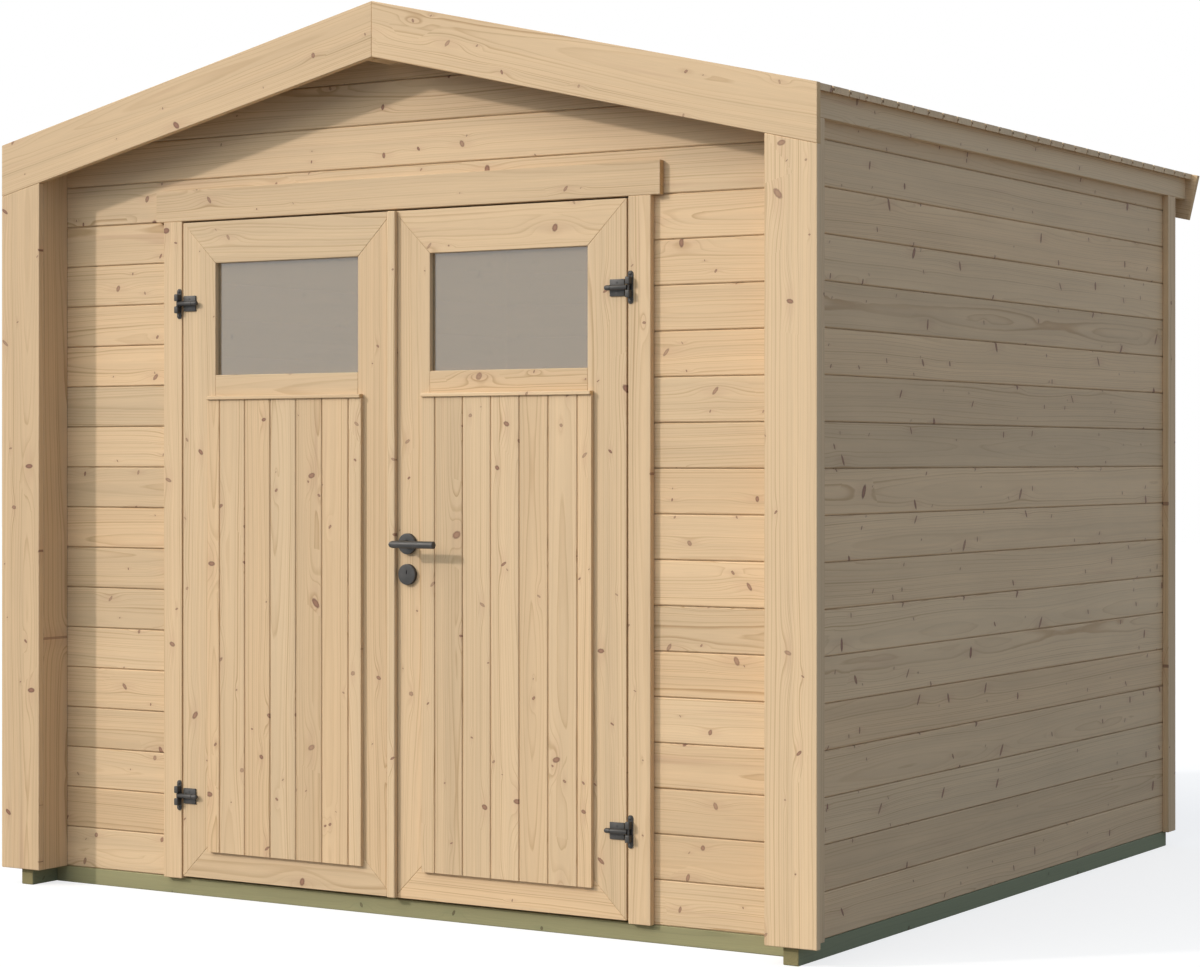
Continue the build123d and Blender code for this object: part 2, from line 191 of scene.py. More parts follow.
def timberFinish(name, look):
    material = bpy.data.materials.new(name)
    material.use_nodes = True
    tree = material.node_tree
    shader = tree.nodes["Principled BSDF"]
    grain = addNode(tree, "ShaderNodeAttribute", attribute_name="grain").outputs["Vector"]
    tone = addNode(tree, "ShaderNodeSeparateXYZ")
    feed(tree, addNode(tree, "ShaderNodeAttribute", attribute_name="tone").outputs["Vector"], tone.inputs[0])
    sawnEnd = addNode(tree, "ShaderNodeAttribute", attribute_name="sawnEnd").outputs["Fac"]

    # yearly rings round the heart of the log, which wanders along the board and swells round the knots
    heart = vectorCalc(tree, "LENGTH", vectorCalc(tree, "MULTIPLY", grain, (0.0, 1.0, 1.0)))
    sway = calc(tree, "MULTIPLY", noise(tree, grain, (0.9, 3.0, 3.0), 1.0), growth["sway"])
    waver = calc(tree, "MULTIPLY", noise(tree, grain, (7.0, 50.0, 50.0)), growth["waver"])
    ring = calc(tree, "ADD", calc(tree, "ADD", heart, sway), waver)
    heartMask, rimMask, haloMask = 0.0, 0.0, 0.0
    for cell, share, small, large in look["knots"]:
        ratio, wide, radius, chosen, dark = branches(tree, grain, tone.outputs[2], cell, share, small, large)
        bulge = calc(tree, "EXPONENT", calc(tree, "MULTIPLY", calc(tree, "POWER", wide, 2.0), growth["bulge"]))
        swell = calc(tree, "MULTIPLY", radius, vary(tree, tone.outputs[2], growth["swell"]))
        ring = calc(tree, "MULTIPLY_ADD", bulge, swell, ring)
        inside = calc(tree, "MULTIPLY", fade(tree, ratio, 1.2, 0.7), calc(tree, "MULTIPLY", chosen, dark))
        rim = calc(tree, "MULTIPLY", calc(tree, "MULTIPLY", fade(tree, ratio, 0.3, 0.95), inside), growth["rim"])
        halo = calc(tree, "MULTIPLY", fade(tree, wide, 2.6, 0.6), chosen)
        heartMask = calc(tree, "MAXIMUM", heartMask, inside)
        rimMask = calc(tree, "MAXIMUM", rimMask, rim)
        haloMask = calc(tree, "MAXIMUM", haloMask, halo)
    uneven = addNode(tree, "ShaderNodeTexNoise", noise_dimensions="1D")
    feed(tree, calc(tree, "MULTIPLY", ring, 90.0), uneven.inputs["W"])
    uneven.inputs["Scale"].default_value = 1.0
    yearCount = calc(tree, "DIVIDE", ring, look["ringSpacing"])
    phase = calc(tree, "MULTIPLY_ADD", uneven.outputs["Fac"], growth["unevenYears"], yearCount)
    lateWood = addNode(tree, "ShaderNodeValToRGB")
    feed(tree, calc(tree, "FRACT", phase), lateWood.inputs[0])
    stops = lateWood.color_ramp.elements
    stops[0].position, stops[1].position = 0.0, 1.0
    stops[0].color = stops[1].color = (0.0, 0.0, 0.0, 1.0)
    for position, value in ((0.56, 0.06), (0.8, 0.62), (0.91, 1.0)):
        stops.new(position).color = (value, value, value, 1.0)
    years = addNode(tree, "ShaderNodeTexNoise", noise_dimensions="1D")
    feed(tree, calc(tree, "MULTIPLY", ring, 140.0), years.inputs["W"])
    years.inputs["Scale"].default_value = 1.0
    presence = fade(tree, noise(tree, grain, (1.3, 11.0, 11.0)), -0.25, 0.2, 0.3, 1.0)
    presence = calc(tree, "MULTIPLY", presence, fade(tree, years.outputs["Fac"], 0.3, 0.68, 0.3, 1.0))
    rings = calc(tree, "MULTIPLY", lateWood.outputs[0], presence)

    # colour: pale wood, late wood, red streaks, soft bands, fibres, the board's own tint, sawn ends, then the knots
    fibre = noise(tree, grain, (12.0, 560.0, 560.0), 3.0, 0.6)
    bands = noise(tree, grain, (0.55, 34.0, 34.0), 2.0)
    mottle = noise(tree, grain, (3.0, 13.0, 13.0), 3.0)
    colour = mixColour(tree, calc(tree, "MULTIPLY", rings, look["ringContrast"]), look["pale"], look["late"])
    streaks = fade(tree, noise(tree, grain, (1.6, 26.0, 26.0), 2.0), *growth["streaks"])
    colour = mixColour(tree, streaks, colour, look["streak"])
    colour = mixColour(tree, calc(tree, "MULTIPLY", haloMask, growth["halo"]), colour, look["streak"])
    shade = calc(tree, "MULTIPLY_ADD", fibre, look["fibreContrast"], 1.0)
    shade = calc(tree, "MULTIPLY_ADD", bands, look["bandContrast"], shade)
    shade = calc(tree, "MULTIPLY_ADD", mottle, vary(tree, tone.outputs[2], growth["mottle"]), shade)
    ownTint = calc(tree, "MULTIPLY", calc(tree, "SUBTRACT", tone.outputs[0], 0.5), 2 * look["boardSpread"])
    shade = calc(tree, "ADD", shade, ownTint)
    scaled = addNode(tree, "ShaderNodeVectorMath", operation="SCALE")
    feed(tree, colour, scaled.inputs[0])
    feed(tree, shade, scaled.inputs["Scale"])
    colour = mixColour(tree, tone.outputs[1], scaled.outputs[0], look["ownTint"], "MULTIPLY")
    colour = mixColour(tree, sawnEnd, colour, look["endGrain"], "MULTIPLY")
    colour = mixColour(tree, calc(tree, "MULTIPLY", heartMask, growth["knotCover"]), colour, look["knotHeart"])
    colour = mixColour(tree, rimMask, colour, look["knotRim"])
    feed(tree, colour, shader.inputs["Base Color"])
    roughness = calc(tree, "MULTIPLY_ADD", fibre, 0.25, look["roughness"])
    feed(tree, calc(tree, "SUBTRACT", roughness, calc(tree, "MULTIPLY", rings, 0.08)), shader.inputs["Roughness"])
    shader.inputs["Specular IOR Level"].default_value = 0.3

    # open fibres, planed almost smooth
    bump = addNode(tree, "ShaderNodeBump")
    feed(tree, fibre, bump.inputs["Height"])
    bump.inputs["Strength"].default_value = 0.35
    bump.inputs["Distance"].default_value = 0.0002
    feed(tree, bump.outputs[0], shader.inputs["Normal"])
    return material


ironLook = {"colour": (0.028, 0.027, 0.026), "worn": (0.052, 0.050, 0.048), "roughness": 0.48}


def ironFinish(name, look):
    # matt powder coat: a fine orange peel, slightly paler where hands and weather reach it
    material = bpy.data.materials.new(name)
    material.use_nodes = True
    tree = material.node_tree
    shader = tree.nodes["Principled BSDF"]
    point = addNode(tree, "ShaderNodeTexCoord").outputs["Object"]
    cloud = noise(tree, point, (38.0, 38.0, 38.0), 3.0)
    speck = noise(tree, point, (900.0, 900.0, 900.0), 2.0)
    colour = mixColour(tree, fade(tree, cloud, -0.15, 0.3), look["colour"], look["worn"])
    feed(tree, colour, shader.inputs["Base Color"])
    feed(tree, calc(tree, "MULTIPLY_ADD", cloud, 0.22, look["roughness"]), shader.inputs["Roughness"])
    bump = addNode(tree, "ShaderNodeBump")
    feed(tree, speck, bump.inputs["Height"])
    bump.inputs["Strength"].default_value = 0.25
    bump.inputs["Distance"].default_value = 0.0003
    feed(tree, bump.outputs[0], shader.inputs["Normal"])
    return material


# the pane's tint and its diffuse film: a painted reflection of the surroundings, mixed with a film of dust
paneLook = {"tint": (0.63, 0.52, 0.37), "dustAndReflection": 0.26, "roughness": 0.02, "shine": 2.0}


def paneFinish(name, look):
    # clear pane with a thin film of dust, a little thicker here and there; the film's warm diffuse colour is a
    # painted reflection, standing in for the surroundings that the glass would mirror
    material = bpy.data.materials.new(name)
    material.use_nodes = True
    tree = material.node_tree
    shader = tree.nodes["Principled BSDF"]
    point = addNode(tree, "ShaderNodeTexCoord").outputs["Object"]
    dust = noise(tree, point, (5.0, 5.0, 7.0), 4.0)
    # painted reflection: a warm diffuse share of the pane takes the place of the mirrored surroundings
    shader.inputs["Base Color"].default_value = (*look["tint"], 1.0)
    feed(tree, calc(tree, "MULTIPLY_ADD", dust, 0.03, look["roughness"] + 0.01), shader.inputs["Roughness"])
    shader.inputs["Transmission Weight"].default_value = 1.0 - look["dustAndReflection"]
    shader.inputs["IOR"].default_value = 1.5
    shader.inputs["Coat Weight"].default_value = 1.0
    shader.inputs["Coat IOR"].default_value = look["shine"]
    shader.inputs["Coat Roughness"].default_value = look["roughness"]
    return material


spruce = timberFinish("spruce_planed", spruceLook)
treated = timberFinish("treated_green_timber", treatedLook)
iron = ironFinish("black_powder_coat", ironLook)
pane = paneFinish("window_pane", paneLook)
print("finishes: spruce, treated timber, powder coat, pane")


# Turning code into finished pieces

def newPiece(name, mesh):
    piece = bpy.data.objects.new(name, mesh)
    bpy.context.scene.collection.objects.link(piece)
    return piece


def settle(piece):
    # the evaluated shape becomes the plain mesh
    graph = bpy.context.evaluated_depsgraph_get()
    mesh = bpy.data.meshes.new_from_object(
        piece.evaluated_get(graph), preserve_all_data_layers=True, depsgraph=graph)
    piece.modifiers.clear()
    piece.data = mesh


def smoothByAngle(mesh, degrees):
    mesh.shade_smooth()
    mesh.set_sharp_from_angle(angle=math.radians(degrees))


def fit(piece, body, slot, *replaced):
    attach(piece, body)
    if replaced:
        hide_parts(*replaced)
    return piece


# Boards: one board is drawn, a node tree repeats it and gives each its own piece of log

logCut = {"along": (0.0, 40.0), "across": (-0.085, 0.085), "depth": (0.014, 0.060)}  # metres from the log's heart


def boardTree():
    tree = bpy.data.node_groups.new("boardRun", "GeometryNodeTree")
    wanted = (("Board", "Geometry"), ("Count", "Int"), ("Step", "Vector"), ("Centre", "Vector"), ("Along", "Vector"),
              ("Across", "Vector"), ("Facing", "Vector"), ("Sawn", "Float"), ("Seed", "Int"), ("Finish", "Material"))
    for name, kind in wanted:
        tree.interface.new_socket(name=name, in_out="INPUT", socket_type=f"NodeSocket{kind}")
    tree.interface.new_socket(name="Boards", in_out="OUTPUT", socket_type="NodeSocketGeometry")
    given = addNode(tree, "NodeGroupInput").outputs
    position = addNode(tree, "GeometryNodeInputPosition").outputs[0]
    position = vectorCalc(tree, "SUBTRACT", position, given["Centre"])
    local = addNode(tree, "ShaderNodeCombineXYZ")
    for axis, socket in zip(("Along", "Across", "Facing"), local.inputs):
        feed(tree, vectorCalc(tree, "DOT_PRODUCT", position, given[axis]), socket)

    def store(geometry, name, value, kind, domain):
        node = addNode(tree, "GeometryNodeStoreNamedAttribute", data_type=kind, domain=domain)
        feed(tree, geometry, node.inputs["Geometry"])
        node.inputs["Name"].default_value = name
        feed(tree, value, node.inputs["Value"])
        return node.outputs[0]

    def stored(name, kind):
        node = addNode(tree, "GeometryNodeInputNamedAttribute", data_type=kind)
        node.inputs["Name"].default_value = name
        return node.outputs[0]

    def chance(low, high, shift):
        node = addNode(tree, "FunctionNodeRandomValue", data_type="FLOAT_VECTOR")
        node.inputs[0].default_value = low
        node.inputs[1].default_value = high
        feed(tree, stored("boardNumber", "INT"), node.inputs["ID"])
        seed = addNode(tree, "ShaderNodeMath", operation="ADD")
        feed(tree, given["Seed"], seed.inputs[0])
        seed.inputs[1].default_value = shift
        feed(tree, seed.outputs[0], node.inputs["Seed"])
        return node.outputs[0]

    board = store(given["Board"], "grain", local.outputs[0], "FLOAT_VECTOR", "POINT")
    row = addNode(tree, "GeometryNodeMeshLine", mode="OFFSET")
    feed(tree, given["Count"], row.inputs["Count"])
    feed(tree, given["Step"], row.inputs["Offset"])
    boards = addNode(tree, "GeometryNodeInstanceOnPoints")
    feed(tree, row.outputs[0], boards.inputs["Points"])
    feed(tree, board, boards.inputs["Instance"])
    number = addNode(tree, "GeometryNodeInputIndex").outputs[0]
    numbered = store(boards.outputs[0], "boardNumber", number, "INT", "INSTANCE")
    real = addNode(tree, "GeometryNodeRealizeInstances")
    feed(tree, numbered, real.inputs[0])
    lowest, highest = zip(*logCut.values())
    cutFrom = vectorCalc(tree, "ADD", stored("grain", "FLOAT_VECTOR"), chance(lowest, highest, 0))
    grained = store(real.outputs[0], "grain", cutFrom, "FLOAT_VECTOR", "POINT")
    tint = addNode(tree, "ShaderNodeSeparateXYZ")
    feed(tree, chance((0.0, 0.0, 0.0), (1.0, 1.0, 1.0), 7), tint.inputs[0])
    own = addNode(tree, "ShaderNodeCombineXYZ")
    for socket, value in zip(own.inputs, (tint.outputs[0], tint.outputs[1], given["Sawn"])):
        feed(tree, value, socket)
    toned = store(grained, "tone", own.outputs[0], "FLOAT_VECTOR", "POINT")
    finish = addNode(tree, "GeometryNodeSetMaterial")
    feed(tree, toned, finish.inputs["Geometry"])
    feed(tree, given["Finish"], finish.inputs["Material"])
    feed(tree, finish.outputs[0], addNode(tree, "NodeGroupOutput").inputs[0])
    return tree


boardRun = boardTree()


def boardOutline(cover, thickness, outerChamfer, innerChamfer, gap, slot, tongue):
    # (across, depth) points: chamfered edges, a tongue on the far edge and a groove on the near one
    low, high, back, play = gap / 2, cover - gap / 2, thickness - slot, gap / 4
    groove, tip = low + tongue + gap, high + tongue
    return [(low + outerChamfer, 0), (high - outerChamfer, 0), (high, outerChamfer), (high, slot + play),
            (tip, slot + play), (tip, back - play), (high, back - play), (high, thickness - innerChamfer),
            (high - innerChamfer, thickness), (low + innerChamfer, thickness), (low, thickness - innerChamfer),
            (low, back), (groove, back), (groove, slot), (low, slot), (low, outerChamfer)]


def oneBoard(name, outline, start, run, across, facing):
    mesh = bpy.data.meshes.new(name)
    shape = bmesh.new()
    ends = []
    for along in (Vector((0, 0, 0)), run):
        ends.append([shape.verts.new(start + along + across * v - facing * w) for v, w in outline])
    shape.faces.new(ends[0])
    shape.faces.new(ends[1])
    for number in range(len(outline)):
        pair = (number, (number + 1) % len(outline))
        shape.faces.new([ends[0][pair[0]], ends[0][pair[1]], ends[1][pair[1]], ends[1][pair[0]]])
    bmesh.ops.recalc_face_normals(shape, faces=shape.faces)
    shape.to_mesh(mesh)
    shape.free()
    return mesh


def layBoards(name, mesh, count, step, along, across, facing, sawn, seed, finish):
    piece = newPiece(name, mesh)
    run = piece.modifiers.new("boards", "NODES")
    run.node_group = boardRun
    centre = sum((vert.co for vert in mesh.vertices), Vector()) / len(mesh.vertices)
    values = {"Count": count, "Step": step, "Centre": centre, "Along": along, "Across": across, "Facing": facing,
              "Sawn": sawn, "Seed": seed, "Finish": finish}
    for item in boardRun.interface.items_tree:
        if item.in_out == "INPUT" and item.name in values:
            run[item.identifier] = values[item.name]
    settle(piece)
    piece.data.materials.clear()
    piece.data.materials.append(finish)
    for face in piece.data.polygons:
        face.material_index = 0
    return piece


def markEnds(mesh, along):
    # sawn ends across the grain are darker
    ends = mesh.attributes.new("sawnEnd", "FLOAT", "FACE")
    for face, value in zip(mesh.polygons, ends.data):
        value.value = 1.0 if abs(face.normal.dot(along)) > 0.75 else 0.0


def saw(piece, point, normal):
    # takes off what lies on the normal's side of a plane and closes the cut
    shape = bmesh.new()
    shape.from_mesh(piece.data)
    everything = shape.verts[:] + shape.edges[:] + shape.faces[:]
    cut = bmesh.ops.bisect_plane(
        shape, geom=everything, dist=1e-6, plane_co=point, plane_no=normal, clear_outer=True)
    rim = [item for item in cut["geom_cut"] if isinstance(item, bmesh.types.BMEdge)]
    bmesh.ops.edgeloop_fill(shape, edges=[edge for edge in rim if edge.is_boundary])
    bmesh.ops.recalc_face_normals(shape, faces=shape.faces)
    shape.to_mesh(piece.data)
    shape.free()


# Roof lines: the pitch, and the ridge as the solids have it
roof = {"pitchDegrees": 13.02, "boardThickness": 0.016}
pitch = math.radians(roof["pitchDegrees"])
slope = math.tan(pitch)
deckDepth = roof["boardThickness"] / math.cos(pitch)  # measured upright
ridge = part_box("right_roof_deck")[1].z
roofNormals = {side: Vector((side * math.sin(pitch), 0, math.cos(pitch))) for side in (-1, 1)}
roofPlanes = [(Vector((0, 0, ridge - deckDepth)), normal) for normal in roofNormals.values()]

# Walls of tongue-and-groove boards
wallBoards = {"cover": 0.112125, "thickness": 0.019, "outerChamfer": 0.0028, "innerChamfer": 0.0018,
              "gap": 0.0014, "slot": 0.0070, "tongue": 0.006}
wallOutline = boardOutline(*wallBoards.values())


def wall(node, facing, along, sawn, seed):
    low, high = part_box(node)
    cover = wallBoards["cover"]
    start = Vector((low.x, low.y, low.z))
    if facing.x > 0 or facing.y > 0:
        start = Vector((high.x if facing.x > 0 else low.x, high.y if facing.y > 0 else low.y, low.z))
    first = math.ceil((low.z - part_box("left_wall")[0].z) / cover - 0.05)
    start.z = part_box("left_wall")[0].z + first * cover
    length = (high - low).dot(along)
    mesh = oneBoard(node + "_boards", wallOutline, start, along * length, zDir, facing)
    count = math.ceil((high.z - start.z) / cover - 0.02)
    piece = layBoards(node + "_boards", mesh, count, zDir * cover, along, zDir, facing, sawn, seed, spruce)
    for point, normal in roofPlanes:
        saw(piece, point, normal)
    markEnds(piece.data, along)
    return fit(piece, "shed", "spruce", node)


wall("left_wall", -xDir, yDir, 0.9, 11)
wall("right_wall", xDir, yDir, 0.9, 23)
wall("rear_wall", yDir, xDir, 0.7, 31)
wall("left_front_wall", -yDir, xDir, 0.25, 41)
wall("right_front_wall", -yDir, xDir, 0.25, 53)
wall("front_gable", -yDir, xDir, 0.35, 61)
print("wall boards laid")

# Roof deck: boards from ridge to eave, side by side along the house
roofBoards = {"cover": 0.0882, "thickness": deckDepth, "outerChamfer": 0.0022,
              "innerChamfer": 0.0024, "gap": 0.0042, "slot": 0.0055, "tongue": 0.005}
roofStart = -0.0760  # the first board begins this far in front of the deck and is sawn off there
roofOutline = boardOutline(*roofBoards.values())
for side, seed in ((-1, 71), (1, 83)):
    node = "left_roof_deck" if side < 0 else "right_roof_deck"
    low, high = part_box(node)
    eave = max(abs(low.x), abs(high.x))
    down = Vector((side * eave, 0, -slope * eave))
    start = Vector((0, low.y + roofStart, ridge))
    mesh = oneBoard(node + "_boards", roofOutline, start, down, yDir, zDir)
    count = math.ceil((high.y - start.y) / roofBoards["cover"])
    piece = layBoards(node + "_boards", mesh, count, yDir * roofBoards["cover"], down.normalized(), yDir,
                      roofNormals[side], 0.5, seed, spruce)
    saw(piece, Vector((0, low.y, 0)), -yDir)
    saw(piece, Vector((0, high.y, 0)), yDir)
    fit(piece, "shed", "spruce", node)

# Floor boards lie across the joists
floorBoards = {"cover": 0.0870, "thickness": 0.016, "outerChamfer": 0.0010, "innerChamfer": 0.0010,
               "gap": 0.0012, "slot": 0.0050, "tongue": 0.005}
low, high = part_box("floor")
mesh = oneBoard("floor_boards", boardOutline(*floorBoards.values()), Vector((low.x, low.y, high.z)),
                xDir * (high.x - low.x), yDir, zDir)
count = math.ceil((high.y - low.y) / floorBoards["cover"])
piece = layBoards("floor_boards", mesh, count, yDir * floorBoards["cover"], xDir, yDir, zDir, 0.4, 97, spruce)
saw(piece, Vector((0, high.y, 0)), yDir)
markEnds(piece.data, xDir)
fit(piece, "shed", "spruce", "floor")

# Door panels: upright boards, the outer ones sawn to half their width
panelBoards = {"cover": 0.0863, "thickness": 0.012, "outerChamfer": 0.0020, "innerChamfer": 0.0005,
               "gap": 0.0014, "slot": 0.0042, "tongue": 0.004}
panelOutline = boardOutline(*panelBoards.values())
for side, seed in (("left", 101), ("right", 113)):
    node = f"{side}_leaf_panel"
    low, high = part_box(node)
    cover = panelBoards["cover"]
    start = Vector(((low.x + high.x) / 2 - 3.5 * cover, low.y, low.z))
    mesh = oneBoard(node + "_boards", panelOutline, start, zDir * (high.z - low.z), xDir, -yDir)
    piece = layBoards(node + "_boards", mesh, 7, xDir * cover, zDir, xDir, -yDir, 0.15, seed, spruce)
    saw(piece, low, -xDir)
    saw(piece, high, xDir)
    markEnds(piece.data, zDir)
    fit(piece, f"{side}_leaf", "spruce", node)
print("roof, floor and door panel boards laid")


# Single timbers: the solid's own shape with planed, slightly rounded edges and grain along its length

def markGrain(mesh, along, facing, seed):
    shape = bmesh.new()
    shape.from_mesh(mesh)
    shape.verts.ensure_lookup_table()
    grain = shape.verts.layers.float_vector.new("grain")
    tone = shape.verts.layers.float_vector.new("tone")
    across = facing.cross(along).normalized()
    draw = random.Random(seed)
    seen = set()
    for first in shape.verts:
        if first in seen:
            continue
        stick, queue = [], [first]
        seen.add(first)
        while queue:
            vert = queue.pop()
            stick.append(vert)
            for edge in vert.link_edges:
                other = edge.other_vert(vert)
                if other not in seen:
                    seen.add(other)
                    queue.append(other)
        middle = sum((vert.co for vert in stick), Vector()) / len(stick)
        offset = Vector([draw.uniform(*limits) for limits in logCut.values()])
        tint = Vector((draw.random(), draw.random(), 0.5 * draw.random()))
        for vert in stick:
            local = vert.co - middle
            vert[grain] = Vector((local.dot(along), local.dot(across), local.dot(facing))) + offset
            vert[tone] = tint
    shape.to_mesh(mesh)
    shape.free()


def dressTimber(node, body, along, facing, seed, edge=0.0018, finish=None, slot="spruce"):
    mesh = nodes[node].data.copy()
    mesh.materials.clear()
    mesh.materials.append(finish or spruce)
    mesh.attributes.remove(mesh.attributes["custom_normal"])  # these no longer fit once the edges are rounded
    shape = bmesh.new()
    shape.from_mesh(mesh)
    bmesh.ops.remove_doubles(shape, verts=shape.verts, dist=1e-5)
    bored = [vert for vert in shape.verts if isBore(vert, node)]
    if bored:
        bmesh.ops.delete(shape, geom=bored, context="VERTS")
        bmesh.ops.holes_fill(shape, edges=[item for item in shape.edges if item.is_boundary], sides=0)
    bmesh.ops.dissolve_limit(shape, angle_limit=math.radians(1), verts=shape.verts, edges=shape.edges)
    sharp = [item for item in shape.edges if item.is_manifold and item.calc_face_angle() > math.radians(20)]
    bevel = bmesh.ops.bevel(shape, geom=sharp, offset=edge, segments=2, profile=0.5, affect="EDGES")
    rounded = set(bevel["faces"])
    for face in shape.faces:
        face.smooth = face in rounded
    bmesh.ops.recalc_face_normals(shape, faces=shape.faces)
    shape.to_mesh(mesh)
    shape.free()
    mesh.name = node + "_timber"
    markGrain(mesh, along, facing, seed)
    markEnds(mesh, along)
    return fit(newPiece(node + "_timber", mesh), body, slot, node)


leverPivot = Vector(next(joint["pos_m"] for joint in frame["joints"] if joint["name"] == "lever_turn"))


def isBore(vert, node):
    # the spindle's hole in the meeting stile stays behind the roses
    if node != "right_leaf_stiles":
        return False
    return math.hypot(vert.co.x - leverPivot.x, vert.co.z - leverPivot.z) < 0.012


rightFall = Vector((math.cos(pitch), 0, -math.sin(pitch)))
leftFall = Vector((-math.cos(pitch), 0, -math.sin(pitch)))
houseTimbers = {
    "left_corner_post": (zDir, -yDir, 0.0022, 200), "right_corner_post": (zDir, -yDir, 0.0022, 201),
    "left_post_cover": (zDir, -yDir, 0.0022, 202), "right_post_cover": (zDir, -yDir, 0.0022, 313),
    "front_side_trims": (zDir, xDir, 0.0018, 204), "rear_side_trims": (zDir, xDir, 0.0018, 205),
    "back_trims": (zDir, yDir, 0.0018, 206),
    "left_eave_board": (yDir, -xDir, 0.0018, 207), "right_eave_board": (yDir, xDir, 0.0018, 208),
    "ridge_purlin": (yDir, -zDir, 0.0022, 209),
    "left_front_barge": (leftFall, -yDir, 0.0018, 317), "right_front_barge": (rightFall, -yDir, 0.0018, 307),
    "left_rear_barge": (leftFall, yDir, 0.0018, 212), "right_rear_barge": (rightFall, yDir, 0.0018, 213),
    "door_posts": (zDir, yDir, 0.0022, 214), "door_lintel": (xDir, yDir, 0.0022, 215),
    "jamb_trims": (zDir, -yDir, 0.0018, 216), "head_trim": (xDir, -yDir, 0.0018, 217),
}
for node, (along, facing, edge, seed) in houseTimbers.items():
    dressTimber(node, "shed", along, facing, seed, edge)
bearers = {
    "left_bearer": (yDir, -xDir, 326), "right_bearer": (yDir, xDir, 311), "front_bearer": (xDir, -yDir, 315),
    "rear_bearer": (xDir, yDir, 329), "floor_joists": (yDir, zDir, 304),
}
for node, (along, facing, seed) in bearers.items():
    dressTimber(node, "shed", along, facing, seed, 0.0025, treated, "treated_timber")
leafTimbers = {"stiles": (zDir, 0.0015, (604, 958)), "rails": (xDir, 0.0015, (703, 535)),
               "ledge": (xDir, 0.0020, (402, 412))}
for part, (along, edge, seeds) in leafTimbers.items():
    for side, seed in zip(("left", "right"), seeds):
        dressTimber(f"{side}_leaf_{part}", f"{side}_leaf", along, -yDir, seed, edge)
dressTimber("meeting_strip", "right_leaf", zDir, -yDir, 431, 0.003)
print("timbers dressed")


# Ironmongery

def cast(name, shapes, degrees=40):
    # joins bmeshes into one piece of black iron
    mesh = bpy.data.meshes.new(name)
    whole = bmesh.new()
    for shape in shapes:
        part = bpy.data.meshes.new("part")
        bmesh.ops.recalc_face_normals(shape, faces=shape.faces)
        shape.to_mesh(part)
        shape.free()
        whole.from_mesh(part)
        bpy.data.meshes.remove(part)
    whole.to_mesh(mesh)
    whole.free()
    mesh.materials.append(iron)
    smoothByAngle(mesh, degrees)
    return newPiece(name, mesh)


def block(low, high, edge, segments=3):
    shape = bmesh.new()
    bmesh.ops.create_cube(shape, size=1.0)
    low, high = Vector(low), Vector(high)
    for vert in shape.verts:
        vert.co = Vector(low[i] + (vert.co[i] + 0.5) * (high[i] - low[i]) for i in range(3))
    bmesh.ops.bevel(shape, geom=shape.edges[:], offset=edge, segments=segments, profile=0.5, affect="EDGES")
    return shape


def turned(profile, origin, axis, segments=40):
    # (radius, height) points turned about an axis; a radius of zero closes the end
    shape = bmesh.new()
    axis = Vector(axis).normalized()
    side = axis.orthogonal().normalized()
    other = axis.cross(side)
    rings = []
    for radius, height in profile:
        centre = Vector(origin) + axis * height
        if radius == 0:
            rings.append([shape.verts.new(centre)])
            continue
        angles = [2 * math.pi * step / segments for step in range(segments)]
        rings.append([shape.verts.new(centre + (side * math.cos(a) + other * math.sin(a)) * radius) for a in angles])
    for first, second in zip(rings, rings[1:]):
        for step in range(segments):
            after = (step + 1) % segments
            corners = [first[step % len(first)], first[after % len(first)],
                       second[after % len(second)], second[step % len(second)]]
            shape.faces.new(list(dict.fromkeys(corners)))
    return shape


def stadium(centre, width, height, thickness, edge):
    # flat plate with round ends, standing proud towards the front
    shape = bmesh.new()
    radius, reach = width / 2, (height - width) / 2
    loop, arcSteps = [], 12
    for step in range(arcSteps + 1):
        angle = math.pi * step / arcSteps
        loop.append((radius * math.cos(angle), reach + radius * math.sin(angle)))
    loop += [(-x, -z) for x, z in loop]
    back = [shape.verts.new(Vector(centre) + Vector((x, 0, z))) for x, z in loop]
    mid = [shape.verts.new(Vector(centre) + Vector((x, -thickness + edge, z))) for x, z in loop]
    inner = [(x * (1 - edge / radius), z - math.copysign(edge, z) * abs(z) / (reach + radius)) for x, z in loop]
    front = [shape.verts.new(Vector(centre) + Vector((x, -thickness, z))) for x, z in inner]
    for lower, upper in ((back, mid), (mid, front)):
        for step in range(len(loop)):
            after = (step + 1) % len(loop)
            shape.faces.new([lower[step], lower[after], upper[after], upper[step]])
    shape.faces.new(back)
    shape.faces.new(front)
    return shape


hinge = {"plateWidth": 0.015, "plateHeight": 0.082, "plateThickness": 0.003, "plateEdge": 0.0008,
         "blockWidth": 0.013, "blockHeight": 0.052, "blockFront": 0.008, "blockEdge": 0.0026, "slot": 0.014,
         "pinRadius": 0.003, "screwRadius": 0.0046, "leafPlate": 0.042, "leafPlateThickness": 0.004,
         "leafScrewRadius": 0.0034, "armRadius": 0.0064, "armReach": 0.0078, "armStart": 0.0035, "waist": 0.86}
jambLow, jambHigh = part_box("jamb_hinges")
hingeHeights = (jambLow.z + hinge["plateHeight"] / 2, jambHigh.z - hinge["plateHeight"] / 2)
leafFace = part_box("left_leaf_stiles")[0].y
swing = Vector(next(joint["pos_m"] for joint in frame["joints"] if joint["name"] == "right_door_swing"))


def dome(origin, axis, radius, rise=1.0):
    # head of a wood screw
    shares = ((0, 0.0), (1.0, 0.0), (0.97, 0.18), (0.8, 0.38), (0.5, 0.5), (0, 0.54))
    return turned([(radius * share, radius * height * rise) for share, height in shares], origin, axis, 16)


